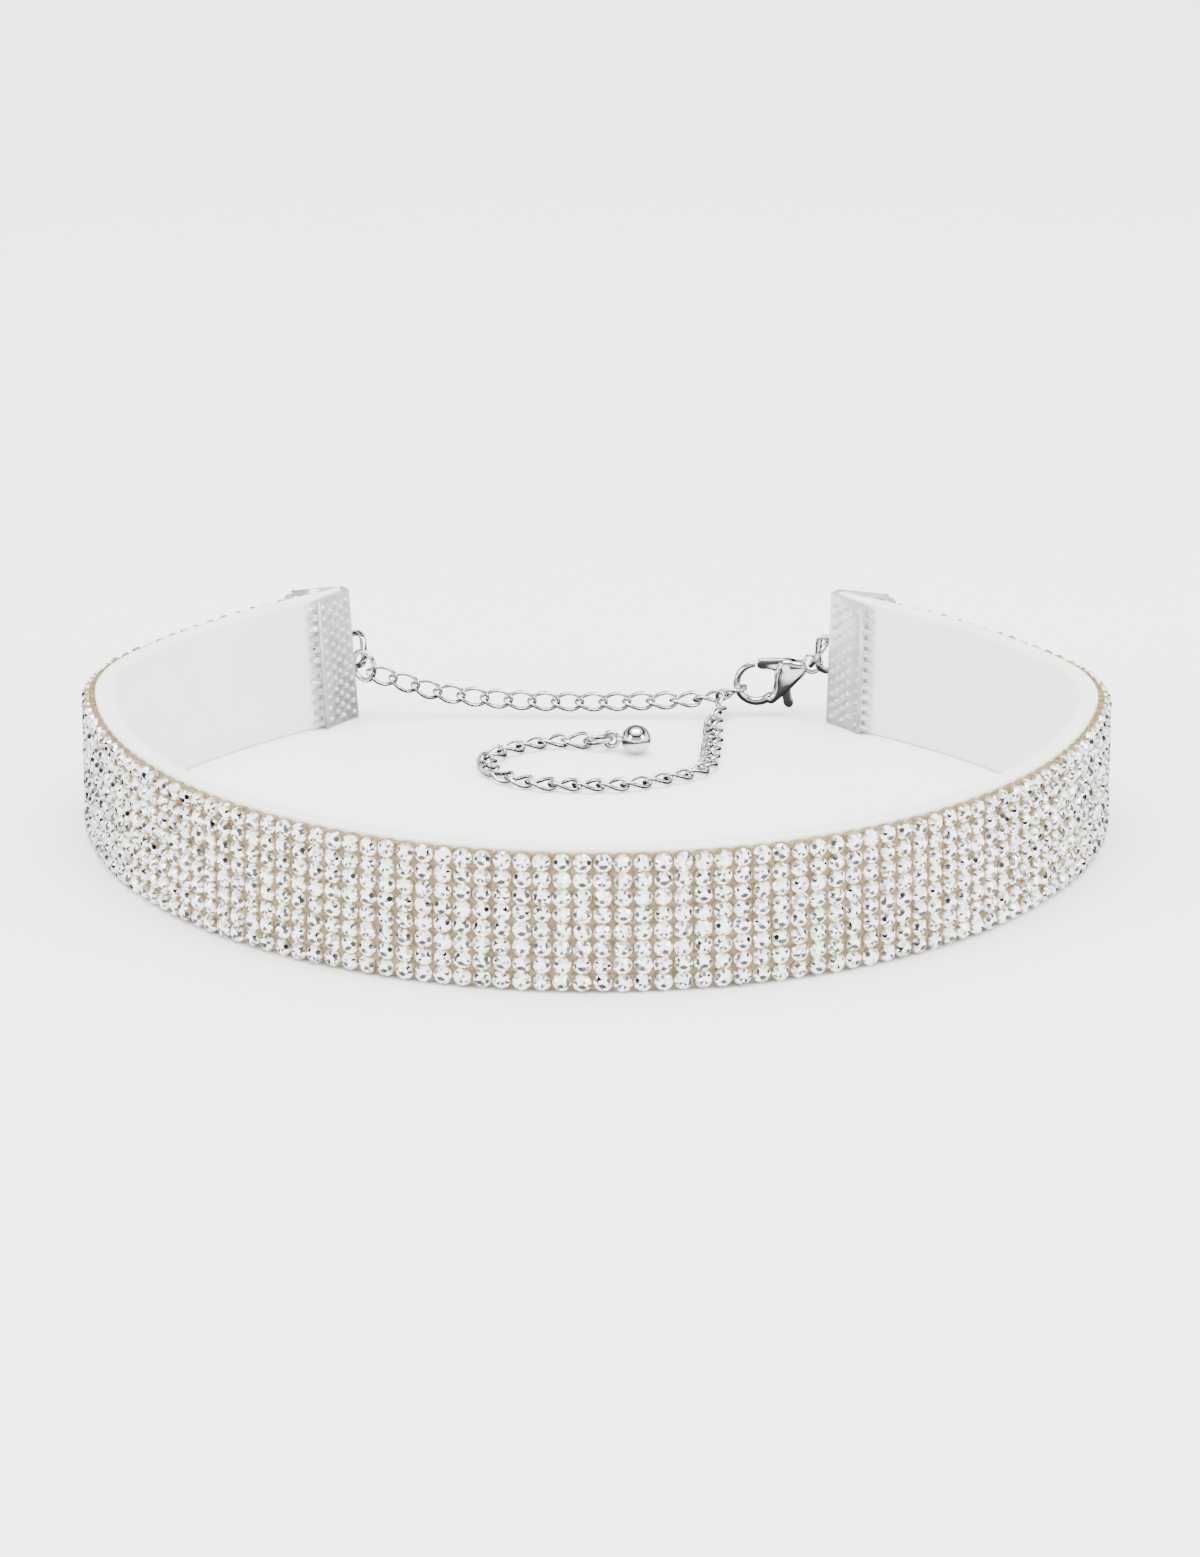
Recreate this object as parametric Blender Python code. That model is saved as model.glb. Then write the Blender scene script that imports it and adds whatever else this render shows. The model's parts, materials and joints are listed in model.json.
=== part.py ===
"""Rhinestone choker necklace with ribbon crimp ends, extension chain and lobster clasp.

The band stands on its lower edge on z = 0, front towards -Y, and the chain closes the loop at +Y.
"""

import math

import bmesh
import bpy
from mathutils import Matrix, Vector

MM = 0.001

# Plan of the band: the glue line between backing and stone bed, from the middle of the front
FRONT_RADIUS = 53.0 * MM
SIDE_RADIUS = 20.1 * MM
BACK_RADIUS = 74.5 * MM
FRONT_ARC_CENTRE_Y = 11.6 * MM
# Degrees that each arc turns in the left half and in the right half
BAND_ARCS = (
    {"radius": FRONT_RADIUS, "left": 86.1, "right": 82.6},
    {"radius": SIDE_RADIUS, "left": 35.8, "right": 40.0},
    {"radius": BACK_RADIUS, "left": 25.1, "right": 25.8},
)

# Band section
BAND_HEIGHT = 15.0 * MM
BACKING_THICKNESS = 2.0 * MM
BED_TOP_MARGIN = 0.5 * MM    # white edge above the stone bed
BED_FOOT_MARGIN = 0.2 * MM
BED_THICKNESS = 0.8 * MM
STONE_RISE = 0.7 * MM        # how far a stone stands out of the bed
STONE_PITCH = 2.0 * MM
STONE_ROWS = 8
GLUE_GAP = 0.2 * MM
COLUMNS_PER_BACKING_STEP = 2
# How much further the band's foot reaches at its ends than its top
END_LEAN = {"left": 1.15 * MM, "right": 0.45 * MM}

# Ribbon crimp ends, folded from sheet and pressed on the band's ends
CRIMP_MARGIN = 0.1 * MM       # above and below a crimp end, within the band's height
CRIMP_LEAF = 5.5 * MM
CRIMP_SHEET = 0.35 * MM
CRIMP_CLEARANCE = 0.3 * MM
PRESSED_SHARE = 0.16         # thickness left of the band at the fold
BAND_END_GAP = 0.9 * MM      # from the fold to the cut end of the band
RIB_HEIGHT = 0.22 * MM
RIB_WIDTH = 0.45 * MM
TOOTH_COUNT = 12
TOOTH_LENGTH = 1.1 * MM
TOOTH_BASE = 0.78 * MM
TOOTH_SHOULDER = 0.62 * MM
TOOTH_TIP = 0.3 * MM
TOOTH_TIP_SHEET = 0.24 * MM
TOOTH_CLEARANCE = 0.12 * MM
TAB_REACH = 2.0 * MM
TAB_HEIGHT = 4.4 * MM
TAB_RIM = 0.6 * MM
TAB_THICKNESS = 0.4 * MM

# Jump rings at the crimp ends
RING_RADIUS = 1.62 * MM      # of the wire's centre line
RING_WIRE = 0.28 * MM        # radius of the wire
LEFT_RING_HANG = 56.0        # degrees below level
LEFT_RING_PULL = 39.0        # degrees round the ring to the first link
LEFT_RING_ACROSS = (0.726, -0.688, 0)
LEFT_RING_HOLE = {"across_tab": 0.675, "up_tab": -0.088}

RIGHT_RING = {"away": (-0.38, 0.58, -0.72), "twist": -17.2, "across_tab": 0.644, "up_tab": 0.197}

# Curb chain
LINK_WIRE = 0.2 * MM
LINK_PITCH = 2.64 * MM
LINK_HALF_WIDTH = 0.93 * MM  # of the wire's centre line
LINK_TWIST = 45.0            # degrees, either way from the middle of a link
LINK_PLAY = 0.26 * MM

# Lobster clasp, with its hook's hole as the origin of its own drawing, u along and v up
HOOK_RADIUS = 2.15 * MM      # of the wire's centre line
HOOK_TIP_WIRE = 0.32 * MM
HOOK_ROOT_WIRE = 0.48 * MM
HOOK_START = 94.0            # degrees, at the tip
HOOK_END = 318.0             # degrees, inside the shoulder
HOOKED_AT = 201.6            # degrees, where the chain's link hangs
CLASP_THICKNESS = 1.7 * MM
LEVER_THICKNESS = 0.6 * MM
LEVER_CLEARANCE = 0.12 * MM
PIVOT = (3.2 * MM, 1.9 * MM)
PIVOT_RADIUS = 0.36 * MM
EYE = (6.1 * MM, 2.2 * MM)
EYE_OUTER = 1.2 * MM
EYE_HOLE = 0.74 * MM
EYE_THICKNESS = 0.5 * MM
EYE_ON_RING = -22.0          # degrees round the right ring from its lowest place
EYE_SLACK = (0.23, -0.07, 0.12)
# Corners of the clasp's shoulder, of the slot through it and of the lever, u and v in drawing units
DRAWING_UNIT = 1.0 * MM
SHOULDER = (
    (1.0, -1.75), (1.7, -1.0), (1.95, -0.1), (1.95, 0.8), (2.1, 1.6), (2.5, 2.45), (3.2, 2.78),
    (4.2, 2.6), (5.0, 2.45), (5.5, 2.0), (5.45, 1.4), (4.4, 0.1), (3.4, -0.95), (2.5, -1.75), (1.5, -2.3),
)
SLOT = (
    (1.4, 3.3), (1.4, 0.75), (2.28, 0.72), (2.36, 0.0), (2.56, -1.5), (2.5, -3.0),
    (6.2, -3.0), (4.95, 0.25), (4.72, 0.85), (4.3, 1.6), (4.28, 3.3),
)
LEVER = (
    (0.12, 2.55), (0.12, 1.85), (1.6, 1.55), (2.42, 1.0), (2.52, 0.0), (2.8, -1.35), (3.4, -2.8),
    (4.0, -2.55), (3.8, -1.3), (3.85, 0.5), (3.95, 2.2), (3.5, 2.6), (2.6, 2.8), (1.3, 2.76),
)

# End ball of the chain's tail and the oval ring that holds it
BALL_RADIUS = 1.6 * MM
BALL_EYE_RADIUS = 0.8 * MM
BALL_WIRE = 0.26 * MM
BALL_NECK = 0.36 * MM
BALL_REACH = 2.9 * MM        # from the eye's centre to the ball's centre
BALL_LIFT = 0.05 * MM
TAIL_RING_HALF_LENGTH = 1.5 * MM
TAIL_RING_HALF_WIDTH = 1.05 * MM
TAIL_RING_WIRE = 0.26 * MM
TAIL_RING_RISE = 0.18        # climb for each length along

# Chain from the left ring to the hook. A row's place is its share of the way, how far it hangs
# aside to the back and its height, in route units, with the links' roll in degrees.
ROUTE_UNIT = 1.0 * MM
CHAIN_ROUTE = (
    {"share": 0.08, "aside": 0.0, "z": 4.34, "roll": 56},
    {"share": 0.198, "aside": 0.36, "z": 2.8, "roll": 52},
    {"share": 0.402, "aside": 0.17, "z": 1.95, "roll": 60},
    {"share": 0.611, "aside": -0.13, "z": 1.75, "roll": 52},
    {"share": 0.821, "aside": -0.43, "z": 1.9, "roll": 40},
    {"share": 0.945, "aside": -0.65, "z": 2.15, "roll": 11},
)
RUN_START_ROLL = 57          # of the link on the left ring, in degrees
RUN_END_ROLL = -15
HOOKED_LINK = {"ahead": (1.52, 0.08, 0.52), "roll": -31}
TAIL_START_SHIFT = {"x": 0.33, "y": 0.88, "z": 0.0}    # beside the run's last link, inside the hooked one
# Tail down to the surface, round, and back to the end ball: x and y from its start, z from the surface
TAIL_ROUTE = (
    {"x": -0.44, "y": -2.73, "z": 1.15, "roll": 58},
    {"x": -1.29, "y": -6.48, "z": 0.85, "roll": 16},
    {"x": -1.09, "y": -10.28, "z": 0.72, "roll": 6},
    {"x": -1.59, "y": -14.48, "z": 0.72, "roll": -6},
    {"x": -1.69, "y": -18.48, "z": 0.72, "roll": 0},
    {"x": -3.19, "y": -21.48, "z": 0.72, "roll": 4},
    {"x": -6.59, "y": -23.58, "z": 0.72, "roll": 6},
    {"x": -10.59, "y": -25.58, "z": 0.72, "roll": -6},
    {"x": -15.09, "y": -25.78, "z": 0.72, "roll": 5},
    {"x": -19.59, "y": -25.48, "z": 0.72, "roll": -5},
    {"x": -23.49, "y": -23.48, "z": 0.72, "roll": 0},
    {"x": -25.79, "y": -19.88, "z": 0.72, "roll": 0},
    {"x": -25.19, "y": -15.88, "z": 0.72, "roll": 0},
    {"x": -21.99, "y": -12.88, "z": 0.72, "roll": 4},
    {"x": -17.84, "y": -11.38, "z": 0.74, "roll": 6},
    {"x": -14.74, "y": -11.78, "z": 0.86, "roll": 40},
)
BALL_DIRECTION = (0.93, -0.36)

BAND_HALF_THICKNESS = (BACKING_THICKNESS + BED_THICKNESS + STONE_RISE) / 2
PRESS_LINE = BED_THICKNESS + STONE_RISE - BAND_HALF_THICKNESS
UP = Vector((0, 0, 1))


def material(name, colour, roughness, metallic=0.0):
    made = bpy.data.materials.new(name)
    made.use_nodes = True
    shader = made.node_tree.nodes["Principled BSDF"]
    shader.inputs["Base Color"].default_value = (*colour, 1)
    shader.inputs["Roughness"].default_value = roughness
    shader.inputs["Metallic"].default_value = metallic
    return made


def half_length(side):
    return sum(arc["radius"] * math.radians(arc[side]) for arc in BAND_ARCS)


def glue_line(along):
    """Point, heading and outward normal in plan, plus to the right of the front's middle."""
    side = "left" if along < 0 else "right"
    mirror = -1 if along < 0 else 1
    left = abs(along)
    place = Vector((0, FRONT_ARC_CENTRE_Y - FRONT_RADIUS))
    heading = 0.0
    for arc in BAND_ARCS:
        radius = arc["radius"]
        step = left if arc is BAND_ARCS[-1] else min(left, radius * math.radians(arc[side]))
        turned = heading + step / radius
        place += radius * Vector((math.sin(turned) - math.sin(heading), math.cos(heading) - math.cos(turned)))
        heading = turned
        left -= step
    ahead = Vector((mirror * math.cos(heading), math.sin(heading), 0))
    outward = Vector((mirror * math.sin(heading), -math.cos(heading), 0))
    return Vector((mirror * place.x, place.y, 0)), ahead, outward


def strip_point(along, out, up):
    """Point at a distance along the band, out of the glue line and up from the surface."""
    side = "left" if along < 0 else "right"
    lean = END_LEAN[side] * (0.5 - up / BAND_HEIGHT) * along / half_length(side)
    place, _, outward = glue_line(along + lean)
    return place + out * outward + up * UP


def from_fold(side, distance):
    """Signed length along the band of a place that far inside the crimp end's fold."""
    return (half_length(side) - distance) * (-1 if side == "left" else 1)


def thickness_share(distance):
    held = min(1.0, max(0.0, distance / CRIMP_LEAF))
    return PRESSED_SHARE + (1 - PRESSED_SHARE) * held


def band_point(along, out, up):
    """As strip_point, with the band's ends pressed thin inside the crimp ends."""
    side = "left" if along < 0 else "right"
    share = thickness_share(half_length(side) - abs(along))
    return strip_point(along, PRESS_LINE + (out - PRESS_LINE) * share, up)


def add_object(name, mesh, made):
    item = bpy.data.objects.new(name, mesh)
    mesh.materials.clear()
    mesh.materials.append(made)
    bpy.context.collection.objects.link(item)
    return item


def mesh_from(name, points, faces, smooth_angle=None):
    mesh = bpy.data.meshes.new(name)
    mesh.from_pydata([tuple(p) for p in points], [], faces)
    shape = bmesh.new()
    shape.from_mesh(mesh)
    bmesh.ops.recalc_face_normals(shape, faces=shape.faces)
    shape.to_mesh(mesh)
    shape.free()
    if smooth_angle is not None:
        mesh.shade_smooth()
        mesh.set_sharp_from_angle(angle=math.radians(smooth_angle))
    return mesh


def loft(name, rings, closed=False, smooth_angle=None):
    """Skin over rings of equally many points, with flat ends unless it closes on itself."""
    size = len(rings[0])
    points = [p for ring in rings for p in ring]
    faces = []
    spans = len(rings) if closed else len(rings) - 1
    for i in range(spans):
        a, b = i * size, (i + 1) % len(rings) * size
        for j in range(size):
            k = (j + 1) % size
            faces.append((a + j, a + k, b + k, b + j))
    if not closed:
        faces.append(tuple(range(size)))
        faces.append(tuple(range(len(points) - size, len(points))))
    return mesh_from(name, points, faces, smooth_angle)


def wire_loop(name, centre_line, wire, sides):
    """Round wire along a closed line of points."""
    count = len(centre_line)
    middle = sum(centre_line, Vector()) / count
    rings = []
    for i, place in enumerate(centre_line):
        ahead = (centre_line[(i + 1) % count] - centre_line[i - 1]).normalized()
        outward = place - middle
        outward = (outward - outward.dot(ahead) * ahead).normalized()
        across = ahead.cross(outward)
        turns = [2 * math.pi * k / sides for k in range(sides)]
        rings.append([place + wire * (math.cos(t) * outward + math.sin(t) * across) for t in turns])
    return loft(name, rings, closed=True, smooth_angle=80)


def prism(name, outline, low, high):
    """Outline of (u, v) points in the XZ plane, extruded along Y."""
    return loft(name, [[Vector((u, y, v)) for u, v in outline] for y in (low, high)])


def merged(name, meshes):
    """One mesh of several closed shells, for use as a tool."""
    joined = bmesh.new()
    for mesh in meshes:
        joined.from_mesh(mesh)
    mesh = bpy.data.meshes.new(name)
    joined.to_mesh(mesh)
    joined.free()
    return mesh


def boolean(item, meshes, operation):
    """Joins shells to an object, or cuts them out of it, one tool for each."""
    for number, mesh in enumerate(meshes):
        tool = add_object(f"{item.name}_{operation.lower()}_{number}", mesh, item.active_material)
        tool.parent = item
        tool.hide_render = True
        tool.display_type = "WIRE"
        step = item.modifiers.new(tool.name, "BOOLEAN")
        step.operation = operation
        step.object = tool
        step.solver = "EXACT"


def band_stations(step_columns=1):
    """Lengths along the band at the sides of the stone columns."""
    start, end = from_fold("left", BAND_END_GAP), from_fold("right", BAND_END_GAP)
    columns = round((end - start) / STONE_PITCH / COLUMNS_PER_BACKING_STEP) * COLUMNS_PER_BACKING_STEP
    return [start + (end - start) * i / columns for i in range(0, columns + 1, step_columns)]


def band_backing(made):
    corners = (
        (-BACKING_THICKNESS, 0),
        (-GLUE_GAP, 0),
        (-GLUE_GAP, BAND_HEIGHT),
        (-BACKING_THICKNESS, BAND_HEIGHT),
    )
    stations = band_stations(COLUMNS_PER_BACKING_STEP)
    rings = [[band_point(along, out, up) for out, up in corners] for along in stations]
    return add_object("band_backing", loft("band_backing", rings, smooth_angle=30), made)


def stone_band(made):
    """Bed with its rows of stones, each stone a low point over its own square of the bed."""
    stations = band_stations()
    low, high = BED_FOOT_MARGIN, BAND_HEIGHT - BED_TOP_MARGIN
    rows = [low + (high - low) * j / STONE_ROWS for j in range(STONE_ROWS + 1)]
    points, faces = [], []

    def put(along, out, up):
        points.append(band_point(along, out, up))
        return len(points) - 1

    face = [[put(along, BED_THICKNESS, up) for up in rows] for along in stations]
    back = [[put(along, 0, up) for up in (low, high)] for along in stations]
    for i in range(len(stations) - 1):
        middle = (stations[i] + stations[i + 1]) / 2
        for j in range(STONE_ROWS):
            tip = put(middle, BED_THICKNESS + STONE_RISE, (rows[j] + rows[j + 1]) / 2)
            corners = (face[i][j], face[i + 1][j], face[i + 1][j + 1], face[i][j + 1])
            faces += [(corners[k], corners[(k + 1) % 4], tip) for k in range(4)]
        faces.append((face[i][0], back[i][0], back[i + 1][0], face[i + 1][0]))
        faces.append((face[i][-1], face[i + 1][-1], back[i + 1][1], back[i][1]))
        faces.append((back[i][0], back[i][1], back[i + 1][1], back[i + 1][0]))
    for end in (0, -1):
        faces.append((*face[end], back[end][1], back[end][0]))
    return add_object("stone_band", mesh_from("stone_band", points, faces), made)


def leaf_gap(distance):
    """Half the space between a crimp end's leaves, that far from the fold."""
    return BAND_HALF_THICKNESS * thickness_share(distance) + CRIMP_CLEARANCE


def crimp_end(side, made):
    foot, top = CRIMP_MARGIN, BAND_HEIGHT - CRIMP_MARGIN
    rib_start = CRIMP_LEAF - 0.3 * RIB_WIDTH
    leaf = (
        (CRIMP_LEAF, leaf_gap(CRIMP_LEAF)),
        (CRIMP_LEAF, leaf_gap(CRIMP_LEAF) + CRIMP_SHEET),
        (rib_start, leaf_gap(rib_start) + CRIMP_SHEET),
        (rib_start - 0.3 * RIB_WIDTH, leaf_gap(rib_start) + CRIMP_SHEET + RIB_HEIGHT),
        (rib_start - 0.7 * RIB_WIDTH, leaf_gap(rib_start) + CRIMP_SHEET + RIB_HEIGHT),
        (rib_start - RIB_WIDTH, leaf_gap(rib_start - RIB_WIDTH) + CRIMP_SHEET),
        (0.4 * CRIMP_SHEET, leaf_gap(0) + CRIMP_SHEET),
        (0, leaf_gap(0) + 0.5 * CRIMP_SHEET),
    )
    inside = (CRIMP_SHEET, leaf_gap(CRIMP_SHEET))
    section = [*leaf, *[(d, -n) for d, n in reversed(leaf)], (inside[0], -inside[1]), inside]

    def ring(up):
        return [strip_point(from_fold(side, d), PRESS_LINE + n, up) for d, n in section]

    item = add_object(f"crimp_end_{side}", loft("crimp_end", [ring(foot), ring(top)]), made)
    pitch = (top - foot) / TOOTH_COUNT
    middles = [foot + (number + 0.5) * pitch for number in range(TOOTH_COUNT)]
    teeth = [crimp_tooth(side, hand, middle) for hand in (-1, 1) for middle in middles]
    boolean(item, [merged("teeth", teeth), crimp_tab(side)], "UNION")
    return item


def crimp_tooth(side, hand, middle):
    """Tapered tooth that leans in from a leaf's free edge to the band."""
    skin = 0.15 * CRIMP_SHEET
    inside = leaf_gap(CRIMP_LEAF) + skin
    outside = leaf_gap(CRIMP_LEAF) + CRIMP_SHEET - skin
    tip = BAND_HALF_THICKNESS + TOOTH_CLEARANCE
    rings = []
    for distance, near, far, width in (
        (CRIMP_LEAF - CRIMP_SHEET, inside - skin / 3, outside - skin / 3, TOOTH_BASE),
        (CRIMP_LEAF + 0.5 * TOOTH_LENGTH, inside - skin, outside, TOOTH_SHOULDER),
        (CRIMP_LEAF + TOOTH_LENGTH, tip, tip + TOOTH_TIP_SHEET, TOOTH_TIP),
    ):
        along = from_fold(side, distance)
        corners = ((near, -1), (far, -1), (far, 1), (near, 1))
        ring = []
        for n, edge in corners:
            ring.append(strip_point(along, PRESS_LINE + hand * n, middle + edge * width / 2))
        rings.append(ring)
    return loft("tooth", rings)


def crimp_tab(side):
    """Loop of flat strip that stands out of the fold's middle."""
    half = (TAB_HEIGHT - TAB_RIM) / 2
    reach = TAB_REACH - TAB_RIM / 2
    corner = 0.35 * TAB_HEIGHT / 2
    bend = [(math.sin(t), math.cos(t)) for t in (0, math.pi / 6, math.pi / 3, math.pi / 2)]
    path = [(-0.5 * CRIMP_SHEET, half)]
    path += [(reach - corner + corner * s, half - corner + corner * c) for s, c in bend]
    path += [(d, -up) for d, up in reversed(path)]
    rings = []
    for i, (d, up) in enumerate(path):
        before, after = path[max(i - 1, 0)], path[min(i + 1, len(path) - 1)]
        ahead = Vector((after[0] - before[0], after[1] - before[1])).normalized()
        across = Vector((-ahead.y, ahead.x)) * TAB_RIM / 2
        ring = []
        for edge, n in ((-1, -1), (1, -1), (1, 1), (-1, 1)):
            spot = Vector((d, up)) + edge * across
            out = PRESS_LINE + n * TAB_THICKNESS / 2
            ring.append(strip_point(from_fold(side, -spot.x), out, BAND_HEIGHT / 2 + spot.y))
        rings.append(ring)
    return loft("crimp_tab", rings)


def oval(half_length_, half_width, twist=0.0, count=12):
    """Closed line of points along X, its plane turned by the twist at either end."""
    line = []
    for i in range(count):
        t = 2 * math.pi * i / count
        turn = math.radians(twist) * math.cos(t)
        wide = half_width * math.sin(t)
        line.append(Vector((half_length_ * math.cos(t), wide * math.cos(turn), wide * math.sin(turn))))
    return line


def placed(centre, ahead, flat):
    """Matrix that puts local X along `ahead` and local Z near `flat`."""
    ahead = ahead.normalized()
    side = flat.cross(ahead).normalized()
    turn = Matrix((ahead, side, ahead.cross(side))).transposed()
    return Matrix.Translation(centre) @ turn.to_4x4()


def tab_hole(side, across, up):
    """Place inside a crimp end's tab, as shares of its opening's reach and of the tab's height."""
    along = from_fold(side, -across * (TAB_REACH - TAB_RIM))
    return strip_point(along, PRESS_LINE, BAND_HEIGHT / 2 + up * TAB_HEIGHT)


def ring_frames():
    """Centre, direction away from the crimp end and second direction of both jump rings."""
    left_across = Vector(LEFT_RING_ACROSS).normalized()
    hang = math.radians(LEFT_RING_HANG)
    left_away = math.cos(hang) * left_across - math.sin(hang) * UP
    left_second = math.sin(hang) * left_across + math.cos(hang) * UP
    left_hole = tab_hole("left", LEFT_RING_HOLE["across_tab"], LEFT_RING_HOLE["up_tab"])
    left_centre = left_hole + RING_RADIUS * left_away
    right_away = Vector(RIGHT_RING["away"]).normalized()
    outward = glue_line(from_fold("right", 0))[2]
    right_second = (outward - outward.dot(right_away) * right_away).normalized()
    right_second.rotate(Matrix.Rotation(math.radians(RIGHT_RING["twist"]), 3, right_away))
    right_hole = tab_hole("right", RIGHT_RING["across_tab"], RIGHT_RING["up_tab"])
    right_centre = right_hole + RING_RADIUS * right_away
    return {
        "left": (left_centre, left_away, left_second),
        "right": (right_centre, right_away, right_second),
    }


def clasp_origin():
    """Place of the hook's hole, from the ring that the clasp's eye hangs on."""
    centre, away, second = ring_frames()["right"]
    turn = math.radians(EYE_ON_RING)
    wire_place = centre + RING_RADIUS * (math.cos(turn) * away + math.sin(turn) * second)
    slack = Vector(EYE_SLACK) * (EYE_HOLE - RING_WIRE)
    return wire_place + slack - Vector((EYE[0], 0, EYE[1]))


def smooth_route(points, steps=24):
    """Samples of a smooth curve through points of x, y, z and roll."""
    points = [2 * points[0] - points[1], *points, 2 * points[-1] - points[-2]]
    samples = []
    for a, b, c, d in zip(points, points[1:], points[2:], points[3:]):
        for i in range(steps):
            t = i / steps
            samples.append(0.5 * (2 * b + (c - a) * t + (2 * a - 5 * b + 4 * c - d) * t**2
                                  + (3 * b - a - 3 * c + d) * t**3))
    samples.append(points[-2])
    return samples


def run_points(start, end):
    """The chain route's rows as places between the left ring and the hooked link."""
    points = []
    for row in CHAIN_ROUTE:
        place = start.lerp(end, row["share"])
        y, z = place.y + row["aside"] * ROUTE_UNIT, row["z"] * ROUTE_UNIT
        points.append(Vector((place.x, y, z, row["roll"])))
    return points


def tail_points(start):
    points = []
    for row in TAIL_ROUTE:
        x, y = start.x + row["x"] * ROUTE_UNIT, start.y + row["y"] * ROUTE_UNIT
        points.append(Vector((x, y, row["z"] * ROUTE_UNIT, row["roll"])))
    return points


def joints_along(points):
    """Places a link's pitch apart along a route, as many as fill it."""
    samples = smooth_route(points)
    lengths = [0.0]
    for a, b in zip(samples, samples[1:]):
        lengths.append(lengths[-1] + (b - a).xyz.length)
    count = round(lengths[-1] / LINK_PITCH)
    joints, at = [], 0
    for i in range(count + 1):
        wanted = lengths[-1] * i / count
        while at < len(lengths) - 2 and lengths[at + 1] < wanted:
            at += 1
        share = (wanted - lengths[at]) / (lengths[at + 1] - lengths[at])
        joints.append(samples[at].lerp(samples[at + 1], share))
    return joints


def hooked_link():
    """Joints at both ends of the link that hangs on the hook."""
    turn = math.radians(HOOKED_AT)
    wire_place = clasp_origin() + HOOK_RADIUS * Vector((math.cos(turn), 0, math.sin(turn)))
    ahead = Vector(HOOKED_LINK["ahead"]).normalized()
    end = wire_place + (hook_wire(HOOKED_AT) + LINK_PLAY / 2) * ahead
    return end - LINK_PITCH * ahead, end


def link_frames():
    """Matrices of all links: the run to the hook, the hooked link and the tail."""
    start, end = hooked_link()
    centre, away, second = ring_frames()["left"]
    pull = math.radians(LEFT_RING_PULL)
    on_ring = centre + RING_RADIUS * (math.cos(pull) * away + math.sin(pull) * second)
    first = run_points(on_ring, start)
    leave = (first[0].xyz - on_ring).normalized()
    begin = on_ring - (RING_WIRE + LINK_PLAY / 2) * leave
    run = [Vector((*begin, RUN_START_ROLL)), *first, Vector((*start, RUN_END_ROLL))]
    tail_start = start + ROUTE_UNIT * Vector([TAIL_START_SHIFT[k] for k in "xyz"])
    tail = [Vector((*tail_start, TAIL_ROUTE[0]["roll"])), *tail_points(tail_start)]
    frames = []
    hooked = [Vector((*joint, HOOKED_LINK["roll"])) for joint in (start, end)]
    for joints in (joints_along(run), hooked, joints_along(tail)):
        for a, b in zip(joints, joints[1:]):
            ahead = (b - a).xyz
            roll = math.radians((a.w + b.w) / 2)
            flat = Matrix.Rotation(roll, 3, ahead.normalized()) @ UP
            frames.append(placed((a + b).xyz / 2, ahead, flat))
    return frames


def hook_wire(degrees):
    """Radius of the hook's wire, thin at the tip and stout at the root."""
    share = (degrees - HOOK_START) / (HOOK_END - HOOK_START)
    return HOOK_TIP_WIRE + (HOOK_ROOT_WIRE - HOOK_TIP_WIRE) * share


def chain_links(made):
    line = oval((LINK_PITCH + LINK_PLAY) / 2 + LINK_WIRE, LINK_HALF_WIDTH, LINK_TWIST)
    mesh = wire_loop("link", line, LINK_WIRE, 5)
    links = []
    for number, frame in enumerate(link_frames(), start=1):
        link = add_object(f"link_{number:02d}", mesh, made)
        link.matrix_world = frame
        links.append(link)
    return links


def jump_ring(name, centre, first, second, made):
    turns = [2 * math.pi * i / 14 for i in range(14)]
    line = [centre + RING_RADIUS * (math.cos(t) * first + math.sin(t) * second) for t in turns]
    return add_object(name, wire_loop(name, line, RING_WIRE, 6), made)


def scaled(outline):
    return [(u * DRAWING_UNIT, v * DRAWING_UNIT) for u, v in outline]


def disc_outline(centre, radius, sides):
    turns = [2 * math.pi * (k + 0.5) / sides for k in range(sides)]
    return [(centre[0] + radius * math.cos(t), centre[1] + radius * math.sin(t)) for t in turns]


def clasp_hook():
    """Round wire from the hook's tip round to its root in the shoulder."""
    rings = []
    for i in range(15):
        degrees = HOOK_START + (HOOK_END - HOOK_START) * i / 14
        turn = math.radians(degrees)
        outward = Vector((math.cos(turn), 0, math.sin(turn)))
        wire = hook_wire(degrees)
        ring = []
        for around in [2 * math.pi * k / 8 for k in range(8)]:
            reach = HOOK_RADIUS + wire * math.cos(around)
            ring.append(reach * outward + Vector((0, wire * math.sin(around), 0)))
        rings.append(ring)
    return loft("hook", rings, smooth_angle=60)


def clasp_body(made):
    half = CLASP_THICKNESS / 2
    slot_half = LEVER_THICKNESS / 2 + LEVER_CLEARANCE
    body = add_object("clasp_body", prism("shoulder", scaled(SHOULDER), -half, half), made)
    body.location = clasp_origin()
    eye = prism("eye", disc_outline(EYE, EYE_OUTER, 14), -EYE_THICKNESS / 2, EYE_THICKNESS / 2)
    boolean(body, [clasp_hook(), eye], "UNION")
    hole = prism("hole", disc_outline(EYE, EYE_HOLE, 14), -half, half)
    slot = prism("slot", scaled(SLOT), -slot_half, slot_half)
    boolean(body, [hole, slot], "DIFFERENCE")
    pin_half = (half + slot_half) / 2
    boolean(body, [prism("pin", disc_outline(PIVOT, PIVOT_RADIUS, 10), -pin_half, pin_half)], "UNION")
    return body


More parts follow.
